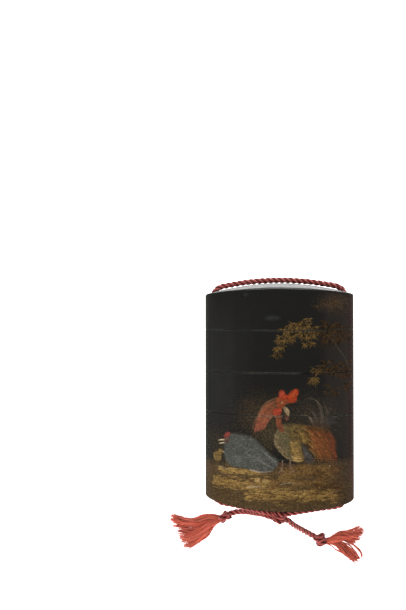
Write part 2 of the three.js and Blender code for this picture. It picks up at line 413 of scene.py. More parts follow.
def column_angles():
    """The angles of the surface's columns: close together on the front, wider on the back."""
    front = np.linspace(-FRONT_REACH, FRONT_REACH, round(2 * FRONT_REACH / FRONT_STEP) + 1)
    rest = 2 * (HALF_GIRTH - FRONT_REACH)
    count = round(rest / BACK_STEP)
    back = FRONT_REACH + rest * np.arange(1, count) / count
    back = np.where(back > HALF_GIRTH, back - 2 * HALF_GIRTH, back)
    return np.interp(np.concatenate([front, back]), DENSE_ROUND, DENSE_ANGLE)


COLUMNS = column_angles()


def ring(y, side_margin=0.0, face_margin=0.0):
    """A ring of points round the case. y is a height, or a function of x and z that gives it."""
    x, z = outline(COLUMNS, side_margin, face_margin)
    height = y(x, z) if callable(y) else np.full(len(x), float(y))
    return np.stack([x, height, z], 1)


def centre(y):
    return np.array([[0.0, y, 0.0]])


def wall_rings(bottom, top):
    """Rings up the outer wall. top is one height or one for each column."""
    found = []
    for share in np.linspace(0, 1, round((np.max(top) - bottom) / ROW_STEP) + 1):
        level = ring(0)
        level[:, 1] = bottom + (top - bottom) * share
        found.append(level)
    return found


def rim_rings(seam_face, away):
    """The rounded edge from a seam face to the outer wall. away is 1 where the wall goes up."""
    found = []
    for turn in np.radians([0, 30, 60]):
        inset = RIM_ROUND * (1 - math.sin(turn))
        found.append(ring(seam_face + away * RIM_ROUND * (1 - math.cos(turn)), inset, inset))
    return found


def shoulder_rings():
    """The rounded edge of the domed end, from the top of the wall to the dome."""
    reach = SHOULDER * (1 - math.cos(SHOULDER_TURN))
    edge = ring(end_height, reach, reach)
    found = []
    for angle in np.linspace(0, SHOULDER_TURN, 9)[1:]:
        inset = SHOULDER * (1 - math.cos(angle))
        turned = ring(0, inset, inset)
        turned[:, 1] = edge[:, 1] - SHOULDER * (math.sin(SHOULDER_TURN) - math.sin(angle))
        found.append(turned)
    return found, edge


def dome_rings(edge, height, count):
    """Rings inside the edge, closing in on the middle of a dome."""
    found = []
    for share in np.linspace(1, 0, count + 1)[1:-1]:
        x, z = edge[:, 0] * share, edge[:, 2] * share
        found.append(np.stack([x, height(x, z), z], 1))
    return found


def outer_domed_rings(foot):
    """From the foot's rounded edge up the wall, over the shoulder and in to the crown."""
    shoulder, edge = shoulder_rings()
    wall = wall_rings(foot + RIM_ROUND, edge[:, 1] - SHOULDER * math.sin(SHOULDER_TURN))
    return [*rim_rings(foot, 1), *wall, *shoulder, *dome_rings(edge, end_height, 14), centre(HALF_LENGTH)]


def inner_domed_rings(foot, margins):
    """From the middle of a domed ceiling out and down to the mouth at the foot."""
    def ceiling(x, z):
        return end_height(x, z) - END_WALL

    edge = ring(ceiling, *margins)
    return [centre(HALF_LENGTH - END_WALL), *dome_rings(edge, ceiling, 6)[::-1], edge, ring(foot, *margins)]


def lid_rings():
    foot = TOP_SEAM + SEAM_GAP / 2
    return inner_domed_rings(foot, MOUTH_MARGINS) + outer_domed_rings(foot)


def case_rings(rim):
    """From the middle of the hollow below, up the outside, over the lip and down to the floor."""
    foot = rim - SEAM_PITCH + SEAM_GAP
    ceiling = foot + MOUTH_DEPTH
    lip_top = rim + LIP_HEIGHT
    return [
        centre(ceiling), ring(ceiling, *MOUTH_MARGINS), ring(foot, *MOUTH_MARGINS),
        *rim_rings(foot, 1), *wall_rings(foot + RIM_ROUND, rim - RIM_ROUND), *rim_rings(rim, -1)[::-1],
        ring(rim, *LIP_MARGINS), ring(lip_top, *LIP_MARGINS), ring(lip_top, *INSIDE_MARGINS),
        ring(ceiling + FLOOR, *INSIDE_MARGINS), centre(ceiling + FLOOR),
    ]


def base_case_rings(rim):
    """The outside is the lid's, turned over. The inside has a domed floor."""
    def turned_over(rings):
        return [points * (1, -1, 1) for points in rings[::-1]]

    outside = turned_over(outer_domed_rings(-rim))
    inside = turned_over(inner_domed_rings(-rim - LIP_HEIGHT, INSIDE_MARGINS))
    return [*outside, ring(rim, *LIP_MARGINS), ring(rim + LIP_HEIGHT, *LIP_MARGINS), *inside]


def loft(rings):
    """Closes a body from rings of points. The first and the last one are single points."""
    faces = []
    below = 0
    for lower, upper in zip(rings, rings[1:]):
        above = below + len(lower)
        count = max(len(lower), len(upper))
        j = np.arange(count)
        k = (j + 1) % count
        if len(lower) == 1:
            corners = [np.full(count, below), above + k, above + j]
        elif len(upper) == 1:
            corners = [below + j, below + k, np.full(count, above)]
        else:
            corners = [below + j, below + k, above + k, above + j]
        faces += np.stack(corners, 1).tolist()
        below = above
    return np.vstack(rings), faces


def channel_cutters():
    """A tube along each of the two ways that the cord takes through the case."""
    half = [[x, -y] for x, y in BEND] + STRAIGHT + BEND[::-1]
    cutters = []
    for side in (1, -1):
        route = smooth_curve([[side * x, y, MIDDLE] for x, y in half], 0.5)
        vertices, faces, _ = tube_arrays(route, CHANNEL_RADIUS, 24)
        cutters.append(add_object("channel", (vertices * MM).tolist(), faces))
    return cutters


def back_cutter():
    """A block under the floor, which takes the flat off the back."""
    corners = [(x, y, z) for z in (-0.01, 0) for y in (-0.06, 0.06) for x in (-0.04, 0.04)]
    faces = [(0, 2, 3, 1), (4, 5, 7, 6), (0, 1, 5, 4), (2, 6, 7, 3), (0, 4, 6, 2), (1, 3, 7, 5)]
    return add_object("back_flat", corners, faces)


def cut(piece, cutters):
    for cutter in cutters:
        step = piece.modifiers.new("cut", "BOOLEAN")
        step.solver = "MANIFOLD"
        step.operation = "DIFFERENCE"
        step.object = cutter
    bpy.context.view_layer.update()
    shown = piece.evaluated_get(bpy.context.evaluated_depsgraph_get())
    mesh = bpy.data.meshes.new_from_object(shown)
    piece.modifiers.clear()
    piece.data = mesh
    smooth(mesh, 25)


# --- The picture ---

def tint(red, green, blue):
    """The base colour of paint that looks like this, in steps of 0 to 255, in the studio's light and
    under the lacquer's sheen."""
    value = np.array([red, green, blue]) / 255
    light = np.where(value <= 0.04045, value / 12.92, ((value + 0.055) / 1.055) ** 2.4)
    return np.maximum((light - SHEEN) / BRIGHTNESS, 0.0008)


GOLD = tint(125, 99, 61)
BROWN_GOLD = tint(88, 67, 43)
RED_GOLD = tint(82, 58, 41)
STRAW = tint(188, 152, 91)
BROWN_STRAW = tint(136, 105, 66)
DULL_STRAW = tint(104, 84, 56)
BONE = tint(190, 170, 138)


def inside_of(x, y, closed):
    """Which places lie inside a closed line, and how far each is from it."""
    x, y = x[..., None], y[..., None]
    x1, y1 = closed[:-1].T
    x2, y2 = closed[1:].T
    slope = (x2 - x1) / np.where(y2 == y1, 1e-9, y2 - y1)
    crosses = ((y1 > y) != (y2 > y)) & (x < x1 + slope * (y - y1))
    return crosses.sum(-1) % 2 == 1, np.sqrt(((x - x1) ** 2 + (y - y1) ** 2).min(-1))


class Picture:
    """Paint on a sheet unrolled from the case: across is the way round from the middle of the front
    and up is the height along the case, both in millimetres."""

    step = 0.1

    def __init__(self):
        self.width = round(2 * HALF_GIRTH / self.step)
        self.height = round(2 * HALF_LENGTH / self.step)
        self.cells = np.zeros((self.height, self.width, 5))
        self.grain = self.mottle()

    def mottle(self):
        """Uneven brightness at about a third of a millimetre, with a mean of 1."""
        field = rng.normal(0, 1, (self.height, self.width))
        for axis in (0, 1, 0, 1):
            field = field + np.roll(field, 1, axis) + np.roll(field, -1, axis)
        return 1 + 0.26 * np.clip(field / field.std(), -2.2, 2.2)

    def window(self, points, margin):
        """The part of the sheet round some points, as slices, and its across and up."""
        low = points.min(0) - margin
        high = points.max(0) + margin
        left = max(0, int((low[0] + HALF_GIRTH) / self.step))
        right = min(self.width, int((high[0] + HALF_GIRTH) / self.step) + 2)
        down = max(0, int((low[1] + HALF_LENGTH) / self.step))
        top = min(self.height, int((high[1] + HALF_LENGTH) / self.step) + 2)
        across = (np.arange(left, right) + 0.5) * self.step - HALF_GIRTH
        up = (np.arange(down, top) + 0.5) * self.step - HALF_LENGTH
        return (slice(down, top), slice(left, right)), *np.meshgrid(across, up)

    def lay(self, where, cover, colour, metal=0.0):
        """Lays paint over what is there. A cell holds colour and metal, both times cover, and cover."""
        powder = np.broadcast_to(colour, (*cover.shape, 3)) * self.grain[where][..., None]
        paint = np.dstack([powder, np.full(cover.shape, metal), np.ones(cover.shape)])
        cover = cover[..., None]
        self.cells[where] = self.cells[where] * (1 - cover) + paint * cover

    def stroke(self, points, width, colour, tip_colour=None, metal=0.0, strength=1.0, taper=(0.15, 0.6)):
        """A brush line along a smooth curve: it swells over the first share of taper, and thins
        out over the last."""
        if len(points) > 2:
            line = smooth_curve(points, 0.12)
        else:
            line = np.linspace(*points, 4 + int(math.dist(*points) / 0.12))
        share = np.linspace(0, 1, len(line))
        half = 0.5 * width * np.minimum(
            np.minimum(1, (share / taper[0]) ** 0.5) if taper[0] else 1,
            np.minimum(1, ((1 - share) / taper[1]) ** 0.8),
        )
        where, across, up = self.window(line, width)
        away = (across[..., None] - line[:, 0]) ** 2 + (up[..., None] - line[:, 1]) ** 2
        near = away.argmin(-1)
        cover = np.clip((half[near] - np.sqrt(away.min(-1))) / 0.14 + 0.5, 0, 1) * strength
        cover *= np.minimum(1, half[near] / 0.07)
        if tip_colour is not None:
            colour = colour + (tip_colour - colour) * share[near][..., None]
        self.lay(where, cover, colour, metal)

    def fan(self, first, last, count, width, colour, uneven=None, **style):
        """Strokes that pass evenly from the first line to the last, some of them lighter."""
        for share in np.linspace(0, 1, count):
            shade = rng.uniform(*uneven) if uneven else 1
            self.stroke(toward(first, last, share), width, colour * shade, **style)

    def shape(self, points, colour, edge_colour=None, metal=0.0, strength=1.0, soft=0.2):
        """A filled smooth outline. edge_colour tints it towards its rim."""
        closed = smooth_curve([*points, points[0]], 0.2)
        where, across, up = self.window(closed, 1.0)
        inside, distance = inside_of(across, up, closed)
        signed = np.where(inside, distance, -distance)
        if edge_colour is not None:
            colour = toward(colour, edge_colour, np.clip(1 - signed / 0.9, 0, 1)[..., None])
        self.lay(where, np.clip(signed / soft + 0.5, 0, 1) * strength, colour, metal)

    def sample(self, across, up):
        """Colour, cover and metal at places on the sheet, between its cells."""
        x = np.clip((across + HALF_GIRTH) / self.step - 0.5, 0, self.width - 1.001)
        y = np.clip((up + HALF_LENGTH) / self.step - 0.5, 0, self.height - 1.001)
        i, j = y.astype(int), x.astype(int)
        right, above = (x - j)[:, None], (y - i)[:, None]
        lower = toward(self.cells[i, j], self.cells[i, j + 1], right)
        upper = toward(self.cells[i + 1, j], self.cells[i + 1, j + 1], right)
        found = toward(lower, upper, above)
        whole = np.maximum(found[:, 4], 1e-4)
        return found[:, :3] / whole[:, None], found[:, 4], found[:, 3] / whole


def oval(x, y, reach, rise, count):
    """Points round an ellipse."""
    turn = 2 * np.pi * np.arange(count) / count
    return np.stack([x + reach * np.cos(turn), y + rise * np.sin(turn)], 1)


def leaf_fan(art, place, heading, length, strength):
    """Bamboo leaves that spread like a star from one joint, most of them downwards. Gold turns to
    brown and red gold towards the right-hand side of the case."""
    tone = toward(GOLD, BROWN_GOLD, ramp(place[0], 13, 17))
    tone = toward(tone, RED_GOLD, ramp(place[0], 23, 29))
    count = rng.integers(5, 8)
    for k in range(count):
        angle = math.radians(heading + 165 * (k / (count - 1) - 0.5) + rng.uniform(-9, 9))
        reach = length * rng.uniform(0.7, 1.1)
        start = np.array(place) + rng.uniform(-0.2, 0.2, 2)
        end = start + reach * np.array([math.cos(angle), math.sin(angle)]) - (0, 0.12 * reach)
        middle = toward(start, end, 0.5) + (0, 0.07 * reach)
        colour = tone * rng.choice((0.1, 0.5, 0.8, 1.0, 1.2))
        art.stroke([start, middle, end], rng.uniform(0.34, 0.5), colour, metal=0.6, strength=strength,
                   taper=(0.3, 0.75))


def foliage(art, strength, *clumps):
    """Fans of leaves that fill the round clumps, each given as across, up and radius."""
    for x, y, radius in clumps:
        for dx in np.arange(-radius, radius, 1.75):
            for dy in np.arange(-radius, radius, 1.75):
                if math.hypot(dx, dy) > radius:
                    continue
                place = (x + dx + rng.uniform(-0.6, 0.6), y + dy + rng.uniform(-0.6, 0.6))
                heading = -90 + 22 * dx / radius + rng.uniform(-15, 15)
                leaf_fan(art, place, heading, 2.3, strength)


def paint_bamboo(art):
    stem = tint(84, 80, 68)
    branch = [(20.5, 22), (23, 18.6), (26.2, 15)]
    cane = [(26.2, 15), (30, 9), (33, 2), (35.5, -9), (37, -24)]
    art.stroke(branch, 0.34, stem, metal=0.4, taper=(0, 0.1))
    art.stroke(cane, 0.5, stem * 0.8, metal=0.4, taper=(0, 0.1))
    foliage(art, 1, (-0.6, 17, 1.9), (0.4, 20, 2.2), (2.4, 22.9, 2.8), (5.6, 25.6, 3.1),
            (9.6, 27.4, 3.5), (10.8, 22.6, 3.4), (13, 26, 2.4))
    foliage(art, 0.75, (17.8, 26.4, 3), (22.4, 26, 3), (18.2, 22.6, 2.6), (22.2, 22, 2.4), (27.4, 24, 3))
    foliage(art, 0.95, (12.8, 6.9, 2.2), (14.4, 11.2, 2.6))
    foliage(art, 0.85, (18.6, 11.6, 3), (23.6, 11, 3.4), (29, 11, 3.8), (27, 4.4, 2.4))
    foliage(art, 0.45, (18, 3.4, 1.9), (21.4, 2.4, 2.2))
    foliage(art, 0.36, (14, 33.8, 1.7), (17, 36, 1.6), (21, 35.4, 2.2), (26, 34, 2.6))


def paint_dust(art):
    """Gold powder, dense on the ground and thin round the birds, and a reddish tint down the right-hand side.
    """
    everywhere = np.array([[-HALF_GIRTH, -HALF_LENGTH], [HALF_GIRTH, HALF_LENGTH]])
    where, across, up = art.window(everywhere, 0)

    def dust(amount, *colour):
        art.lay(where, amount, tint(*colour), 0.45)

    def cloud(amount, x, y, reach, rise, *colour):
        dust(amount * np.exp(-((across - x) / reach) ** 2 - ((up - y) / rise) ** 2), *colour)

    ground = ramp(up - 1.8 * ramp(across, 3, 9), -22.7, -26)
    ground *= (1 - 0.1 * ramp(up, -36, -40)) * (1 - 0.35 * ramp(across, 20, 26))
    dust(0.72 * ground, 109, 87, 60)
    cloud(0.42, -7, -6, 9.5, 8, 94, 78, 58)
    cloud(0.5, -3.5, -13, 4.5, 6, 92, 80, 60)
    cloud(0.4, -25, -18, 7, 7, 84, 72, 56)
    cloud(0.4, 13, -6, 10, 8, 84, 74, 60)
    dust(0.42 * ramp(across, 26, 31) * ramp(across, 48, 33), 94, 46, 36)
    cloud(0.6, 22, 35.4, 6.5, 3.2, 98, 80, 62)
    cloud(0.26, 18, 23, 7, 5, 74, 56, 38)


def paint_seam_highlights_and_spots(art):
    """Painted highlights: the edges at the seams are a little lighter, and so are two small spots."""
    for i in range(CASE_COUNT + 1):
        for _ in range(26):
            start = rng.uniform(-HALF_GIRTH + 6, HALF_GIRTH - 20)
            end = start + rng.uniform(6, 20)
            edge = TOP_SEAM - i * SEAM_PITCH + 0.17 * rng.choice((-1, 1))
            # Painted highlight along one edge of the seam, for the light on its rounded rim.
            seam_highlight = tint(62, 63, 58) * rng.uniform(0.3, 1)
            art.stroke([(start, edge), (end, edge)], 0.26, seam_highlight, taper=(0.3, 0.3))
    for spot in (oval(-1.9, 30, 2.9, 0.8, 8), oval(-12, 38.6, 0.6, 0.6, 8)):
        art.shape(spot, tint(46, 47, 44), soft=1.4, strength=0.95)


def paint_seam_highlights_over_figures(art):
    """The seams show across the figures as thin lines of painted highlight, one on each side of the gap."""
    for i, left, right, colour in (
        (2, -7.6, 2.2, tint(134, 104, 84)),
        (3, -20.4, -0.8, tint(104, 104, 97)),
        (3, 12, 21.6, tint(104, 74, 52)),
    ):
        line = np.array([(left, TOP_SEAM - i * SEAM_PITCH), (right, TOP_SEAM - i * SEAM_PITCH)])
        art.fan(line - (0, 0.2), line + (0, 0.2), 2, 0.3, colour, strength=0.6, taper=(0.1, 0.1))


def straw_band(art, left, right, height, thickness, count, colour):
    for _ in range(count):
        start = np.array([rng.uniform(left, right), height + rng.normal(0, thickness / 2)])
        reach = rng.uniform(1.6, 4.5)
        tilt = math.radians(rng.normal(0, 5))
        end = start + reach * np.array([math.cos(tilt), math.sin(tilt)])
        bow = toward(start, end, 0.5) + (0, rng.uniform(-0.2, 0.25))
        art.stroke([start, bow, end], 0.24 * rng.uniform(0.7, 1.3), colour * rng.uniform(0.75, 1.15),
                   metal=0.6, strength=0.9, taper=(0.2, 0.5))


def paint_ground(art):
    for band in (
        (-36, 36, -33.5, 6.5, 420, DULL_STRAW),
        (-30, 26, -36, 4, 260, DULL_STRAW * 0.8),
        (-27, -4, -31.6, 2.1, 220, STRAW),
        (-26, -2, -31.4, 2.6, 120, BROWN_STRAW),
        (-13, 20, -35, 2.3, 280, STRAW),
        (-12, 22, -35.2, 3, 140, BROWN_STRAW),
        (-24, -8, -26.9, 1.2, 120, STRAW * 0.9),
        (5, 19, -24.9, 0.9, 90, BROWN_STRAW),
        (0, 19, -26.8, 2, 170, BROWN_STRAW),
        (-4, 17, -30.4, 1.5, 150, BROWN_STRAW),
        (12, 24, -31, 5, 70, RED_GOLD * 1.4),
    ):
        straw_band(art, *band)
    art.stroke([(-24, -25.6), (-20.5, -26.3), (-15.5, -26.2)], 0.3, BONE * 0.6, metal=0.4)
    art.stroke([(-11.5, -32.5), (-8, -32.2), (-4.3, -32.2)], 0.4, BONE, metal=0.4)
    art.stroke([(0.5, -31.2), (4, -30.4), (9.5, -30.9)], 0.28, BONE * 0.6, metal=0.4)
    for x in (-20.1, -19.3, -18.2):
        art.stroke([(x, -22.4), (x + 0.3, -24.6), (x + 0.1, -27.4)], 0.26, BROWN_STRAW, metal=0.4)


def paint_nest(art):
    """Fine rings of straw, and two eggs beside them."""
    turn = np.linspace(0, 1.7 * np.pi, 9)
    for reach in (0.7, 1.3, 1.9, 2.5):
        for x in (3.25, 3.6):
            loop = np.stack([x + 1.25 * reach * np.cos(turn), -28.6 + 0.62 * reach * np.sin(turn)], 1)
            art.stroke(loop, 0.24, BROWN_STRAW * rng.uniform(0.6, 1.1), metal=0.4, taper=(0.1, 0.1))
    for egg in (oval(-7.6, -29.9, 1.4, 1.3, 10), oval(-4.6, -30.2, 1.6, 1.2, 10)):
        art.shape(egg, tint(172, 142, 92), tint(128, 102, 62), metal=0.4, soft=0.4)


def scatter(outline_points, spacing):
    """Jittered points about a spacing apart inside an outline, from the top row down."""
    low = np.min(outline_points, 0)
    high = np.max(outline_points, 0)
    across, up = np.meshgrid(np.arange(low[0], high[0], spacing), np.arange(high[1], low[1], -spacing))
    points = np.stack([across.ravel(), up.ravel()], 1) + rng.uniform(-0.4, 0.4, (across.size, 2)) * spacing
    within, deep = inside_of(*points.T, smooth_curve([*outline_points, outline_points[0]], 0.4))
    return points[within & (deep > 0.3)]


def bowed(root, tip, bow):
    """The line of one feather or barb, which bows a little to its left."""
    run = np.subtract(tip, root)
    return [root, toward(root, tip, 0.5) + bow * np.array([-run[1], run[0]]), tip]


def plume(art, root, tip, width, colour, bow, metal=0.0, strength=1.0):
    art.stroke(bowed(root, tip, bow), width, colour, metal=metal, strength=strength, taper=(0.2, 0.5))


def plumage(art, outline_points, spacing, length, heading, colours, width, metal=0.0):
    """Small overlapping feathers. heading is a function of the place's across, in degrees."""
    for place in scatter(outline_points, spacing):
        angle = math.radians(heading(place[0]) + rng.uniform(-14, 14))
        tip = place + length * rng.uniform(0.7, 1.2) * np.array([math.cos(angle), math.sin(angle)])
        colour = toward(*colours, rng.random())
        plume(art, place, tip, width * rng.uniform(0.8, 1.2), colour, rng.uniform(-0.2, 0.2), metal, 0.85)


def paint_hen(art):
    body = [
        (-18.6, -13.2), (-16, -12.9), (-12.5, -13.2), (-9, -14.2), (-6, -16.8), (-3, -19.6), (0, -22.3),
        (-0.4, -24.6), (-3.5, -26.6), (-8, -26.6), (-13, -25.7), (-18, -25.1), (-20.6, -22.6), (-20.9, -18),
        (-20.2, -15.6),
    ]
    art.shape(body, tint(74, 74, 69), tint(54, 54, 50), soft=0.8, strength=0.95)

    def heading(x):
        return -60 + 45 * ramp(x, -16, -4)

    plumage(art, body, 0.62, 0.85, heading, (tint(66, 67, 63), tint(104, 105, 100)), 0.24)
    plumage(art, body, 1.15, 0.7, heading, (tint(46, 46, 43), tint(60, 60, 56)), 0.22)
    art.fan(bowed((-12, -20.4), (-4.4, -23.4), 0.05), bowed((-5, -23.9), (-0.2, -26.34), 0.05), 8, 0.3,
            tint(104, 102, 96), strength=0.6, taper=(0.2, 0.5))
    art.stroke([(-10.6, -26), (-6.2, -26.8), (-1.2, -26)], 0.5, tint(140, 130, 122), strength=0.75)
    art.fan([(-6.4, -18.4), (-3.6, -20.8), (-0.4, -22.8)], [(-2.4, -22.4), (-0.4, -22.8), (-0.8, -24.8)],
            5, 0.26, tint(116, 112, 108), strength=0.6)
    face = [(-18.4, -13.8), (-19.6, -13.9), (-20.6, -14.8), (-20.9, -15.8), (-20.2, -16.9), (-19.2, -17),
        (-18.3, -15.6)]
    art.shape(face, tint(88, 66, 58), tint(66, 58, 52), soft=0.5)
    comb = [(-17.8, -13.6), (-18.3, -12.8), (-19.3, -12.7), (-20.4, -13.4), (-21, -14.5), (-20.2, -14.9),
        (-19, -14.3)]
    art.shape(comb, tint(140, 64, 54), tint(108, 54, 46), soft=0.3)
    for start, end in (((-20.4, -15.7), (-23.8, -16.3)), ((-20.4, -16.8), (-23.4, -17.5))):
        plume(art, start, end, 0.5, BONE * 0.85, -0.04)
    art.stroke([(-19.8, -15.3), (-19.5, -15.3)], 0.26, BONE * 0.6)


def paint_chick(art, x, y, size, facing, colour):
    """A chick of one size, facing 1 to the right or -1 to the left."""
    art.shape(oval(x, y, 1.05 * size, 0.9 * size, 12), colour, colour * 0.6, metal=0.4)
    head = oval(x + facing * size * 0.75, y + size * 0.95, 0.55 * size, 0.5 * size, 12)
    art.shape(head, colour * 1.1, colour * 0.7, metal=0.4)
    beak = [(x + facing * size * 1.2, y + size), (x + facing * size * 1.7, y + size * 0.8)]
    art.stroke(beak, 0.3, BONE)
    for _ in range(9):
        start = np.array([x + rng.uniform(-0.7, 0.7) * size, y + rng.uniform(-0.2, 0.6) * size])
        art.stroke([start, start - (facing * 0.5 * size, 0.5 * size)], 0.2, colour * 0.55, strength=0.7)
    for leg in (-0.3, 0.25):
        hip = (x + leg * size, y - size * 0.8)
        foot = (x + leg * size + facing * 0.2, y - size * 1.5)
        art.stroke([hip, foot, (foot[0] + facing * 0.5, foot[1] - 0.1)], 0.24, BROWN_GOLD)


def paint_hackle(art):
    """The long neck feathers, in a plume that sweeps down to the left."""
    under = [
        (0.8, 0.6), (-1.6, 0.3), (-4.2, -1.5), (-6.6, -4.4), (-8, -7.6), (-8.4, -10.8), (-7.2, -11),
        (-5.6, -10.2), (-3.8, -8.4), (-2.4, -6.8), (-1, -5.4), (1, -3),
    ]
    art.shape(under, tint(84, 58, 44), strength=0.9, soft=0.9)
    for k in range(72):
        share = (k % 24) / 23 + rng.normal(0, 0.012)
        begin = rng.uniform(0, 0.5)
        root = toward((0.8, 1.1), (-0.8, -4.4), share)
        bulge = toward((-4.6, -1.3), (-2.9, -7), share)
        tip = toward((-9, -12.1), (-5.4, -10.8), share) + rng.normal(0, 0.5, 2)
        line = smooth_curve([root, toward(root, bulge, 0.6), bulge, tip], 0.3)
        line = line[int(begin * len(line)):]
        warm = toward(tint(104, 80, 58), tint(132, 78, 52), ramp(share, 0, 0.2))
        warm = toward(warm, tint(124, 78, 58), ramp(share, 0.5, 1))
        art.stroke(line[[0, len(line) // 3, 2 * len(line) // 3, -1]], rng.uniform(0.26, 0.5),
                   warm * rng.choice((0.3, 0.85, 1, 1.25)), tint(124, 70, 54), strength=0.95,
                   taper=(0.15, 0.3))


def paint_streamers(art):
    """The long feathers of the back, which stream down over the tail's root."""
    back = [(9.4, -9.4), (14, -9.8), (18, -11), (20.8, -13.6), (21.9, -17), (21.6, -20.6), (19.8, -21.8),
        (16.4, -21.6), (13.8, -20.4), (11.2, -17.8), (9.8, -15)]
    art.shape(back, tint(82, 57, 38), strength=0.95, soft=1.2)
    for k in range(4 * 17):
        share = (k % 17) / 16
        root = toward((9.6, -10.4), (19, -12), share) + k // 17 * np.array([0.55, -2.5]) * (1 - 0.25 * share)
        root = root + rng.normal(0, 0.16, 2)
        tip = root + toward((3.4, -6.4), (1.9, -7.6), share) * rng.uniform(0.85, 1.15)
        tip = np.array([min(tip[0], 22.2), max(tip[1], rng.uniform(-24.2, -22.8))])
        colour = toward(tint(134, 102, 58), tint(128, 80, 50), ramp(share, 0, 0.12))
        colour = toward(colour, tint(116, 66, 47), ramp(share, 0.6, 1))
        plume(art, root + (0.3, 0.1), tip + (0.3, 0), 0.34, tint(58, 42, 31), 0.14)
        plume(art, root, tip, rng.uniform(0.34, 0.48), colour * rng.uniform(0.75, 1.3), 0.14, 0.25)


def paint_saddle(art):
    """The back, from behind the neck to the tail's root."""
    front = [(1.8, -9.2), (4.4, -8.8), (8, -8.9), (10, -9.8), (10.8, -12), (10.8, -15.2), (9.6, -16.2),
        (7.6, -15.6), (5, -14.8), (3.4, -12.6)]
    art.shape(front, tint(88, 74, 48), strength=0.95, soft=1.2)
    paint_streamers(art)
    for place in scatter(front, 0.62):
        share = ramp(place[0], 2, 10)
        colour = toward(tint(98, 88, 58), tint(128, 98, 58), share)
        tip = place + (1.1 + 0.5 * share, -0.95 + rng.uniform(-0.3, 0.3))
        plume(art, place, tip, 0.3, colour * rng.choice((0.45, 0.85, 1.15)), 0.18, 0.35)
    art.fan([(7.4, -11.6), (9, -12.4), (10.4, -12.2)], [(9, -14.8), (10.2, -15.6), (10.4, -15.8)], 9, 0.3,
            tint(152, 124, 70), uneven=(0.7, 1.1), metal=0.4, strength=0.85)


def paint_breast(art):
    breast = [(1.6, -9), (-0.4, -11), (-1.5, -13.6), (-1.2, -16.4), (0.4, -19), (3, -21.2), (5.8, -22.2),
        (8.6, -22.3), (9.2, -20.8), (8.6, -17.6), (8.4, -14.6), (6.4, -11.2), (4, -9.2)]
    art.shape(breast, tint(84, 76, 56), tint(72, 66, 50), soft=0.6)

    def heading(x):
        return -118 + 8 * x

    plumage(art, breast, 0.6, 0.8, heading, (tint(96, 88, 62), tint(134, 120, 86)), 0.26, 0.3)
    plumage(art, breast, 1.3, 0.5, heading, (tint(52, 48, 38), tint(62, 56, 44)), 0.2)
    for k in range(7):
        rim = [(-1.4 + 0.28 * k, -12.4), (-1.1 + 0.3 * k, -16.2), (0.6 + 0.26 * k, -18.9 + 0.2 * k),
               (3 + 0.2 * k, -21 + 0.24 * k)]
        art.stroke(rim, 0.26, tint(152, 130, 98) * (1 - 0.09 * k), metal=0.4, strength=0.75,
                   taper=(0.4, 0.2))
    art.stroke([(1, -19.6), (3, -21.2), (5.8, -22.3), (8.8, -22.5)], 0.34, tint(160, 134, 92),
               metal=0.4, taper=(0.4, 0.1))
    under = [(8.6, -16.2), (10, -17), (12.2, -19.8), (13.4, -22.6), (11.6, -23.2), (9.8, -22.6), (9.3, -20)]
    art.shape(under, tint(66, 61, 56), strength=0.9, soft=0.6)
    art.fan(bowed((8.9, -17), (9.9, -22.6), 0.05), bowed((10.4, -19), (12.4, -22.6), 0.05), 6, 0.26,
            tint(84, 80, 78), strength=0.6, taper=(0.2, 0.5))


def paint_wing(art):
    """Yellow barred feathers that fan out over the flank."""
    wing = [(4.2, -15.4), (6.4, -14.8), (8.2, -16), (8.6, -18.4), (9.4, -21.4), (8.6, -22.5), (6.4, -22),
        (4.8, -20.4), (4.1, -17.6)]
    art.shape(wing, tint(100, 80, 48), strength=0.85, soft=0.8)
    for k in range(11):
        y = -15.5 - 0.62 * k
        left = 4.1 + 0.1 * k + 0.012 * k * k
        reach = 3.6 + 0.5 * math.sin(math.pi * k / 10)
        art.stroke([(left, y + 0.3), (left + 0.45 * reach, y - 0.35), (left + reach, y + 0.05)], 0.4,
                   tint(164, 132, 80) * rng.uniform(0.75, 1.25), metal=0.4, strength=0.95)
    art.fan([(5, -20.7), (7.2, -21.5), (9.5, -21.2)], [(5.6, -21.9), (7.2, -22.5), (9.5, -22.3)], 3, 0.5,
            tint(184, 150, 96), metal=0.4, strength=0.9)


def paint_tail(art):
    mass = [(11.6, -10), (12.6, -7.4), (15, -6.2), (18, -7), (19.6, -9.6), (18.4, -11.4), (14.6, -11)]
    art.shape(mass, tint(72, 58, 50), strength=0.6, soft=2.2)
    grey = tint(90, 80, 71)
    blue = tint(66, 68, 69)
    for width, colour, *points in (
        (0.8, grey, (16.2, -9.4), (16.2, -5.2), (15.2, -1.8), (13.2, 0.2), (10.8, 0.2), (9.8, -1.4)),
        (0.8, grey * 0.85, (14.4, -8.6), (13.6, -5.8), (12.2, -3.9), (10, -3.2), (8.8, -4.2)),
        (0.7, grey * 0.7, (17.6, -9.2), (18.2, -5.4), (17.4, -2.2), (15.8, 0.6)),
        (0.5, tint(128, 114, 94), (12.6, -8.8), (12, -6.9), (10.4, -5.7), (8.6, -5.5), (7, -5.9)),
        (0.7, blue, (18.6, -8.6), (20.2, -6.8), (21.8, -6.6), (23.4, -7.8)),
        (0.7, blue * 0.9, (19, -9.4), (20.8, -8.6), (22.6, -9), (24.2, -10.8)),
        (0.5, tint(66, 54, 44), (20.4, -11.4), (22.8, -11.6), (24.4, -14), (24.9, -17)),
        (0.6, grey * 0.55, (17.2, -8.4), (19.2, -4.6), (19.8, -1.4), (19.2, 1)),
        (0.5, grey * 0.4, (18.4, -8.8), (20.8, -5.4), (22, -2.4), (22, 0.4)),
    ):
        side = width * np.array([0.68, -0.34])
        art.fan(points - side, points + side, 5, width * 0.36, colour, uneven=(0.4, 1), strength=0.8,
                taper=(0.1, 0.7))


